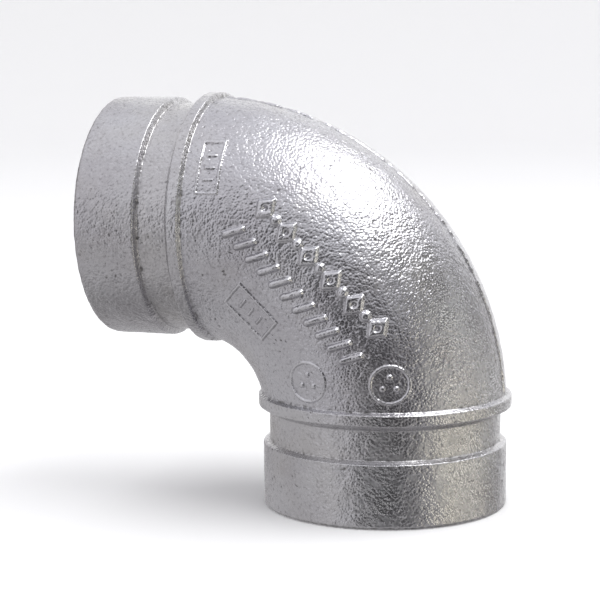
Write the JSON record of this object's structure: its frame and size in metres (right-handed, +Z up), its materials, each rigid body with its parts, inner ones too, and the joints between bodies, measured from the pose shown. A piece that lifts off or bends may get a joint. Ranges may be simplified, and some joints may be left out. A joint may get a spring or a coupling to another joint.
{
  "type": "grooved pipe elbow",
  "caption": "Hollow short-radius 90-degree pipe elbow with a grooved end on each leg, cast in iron and hot-dip galvanised, for clamp-type grooved couplings.",
  "frame": {"origin": "centre of the waterway in the lower end's face; the elbow stands on that face", "axes": "+Z up the lower end's axis into the elbow; -X along the side end's axis out of the elbow; the bend lies in the XZ plane and the raised marks face -Y"},
  "size_m": [0.1014, 0.0626, 0.1014],
  "materials": {
    "zinc_bend": "hot-dip galvanised over a pebbled sand-cast surface, satin silver-grey",
    "zinc_seat": "hot-dip galvanised, smoother than the bend, fine dimples",
    "zinc_groove": "hot-dip galvanised, duller, with faint yellowish stains",
    "zinc_shoulder": "hot-dip galvanised, rounded edges rubbed bright",
    "zinc_relief": "hot-dip galvanised raised detail, edges softened by the zinc"
  },
  "bodies": {
    "root": {"lower_seat": "zinc_seat", "lower_groove_band": "zinc_groove", "lower_shoulder": "zinc_shoulder", "bend_body": "zinc_bend", "side_shoulder": "zinc_shoulder", "side_groove_band": "zinc_groove", "side_seat": "zinc_seat", "outer_parting_ridge": "zinc_relief", "inner_parting_ridge": "zinc_relief", "outer_mark_row": "zinc_relief", "inner_mark_row": "zinc_relief", "upright_mark_frame": "zinc_relief", "slanted_mark_frame": "zinc_relief", "inner_mark_ring": "zinc_relief", "outer_mark_ring": "zinc_relief"}
  },
  "joints": []
}
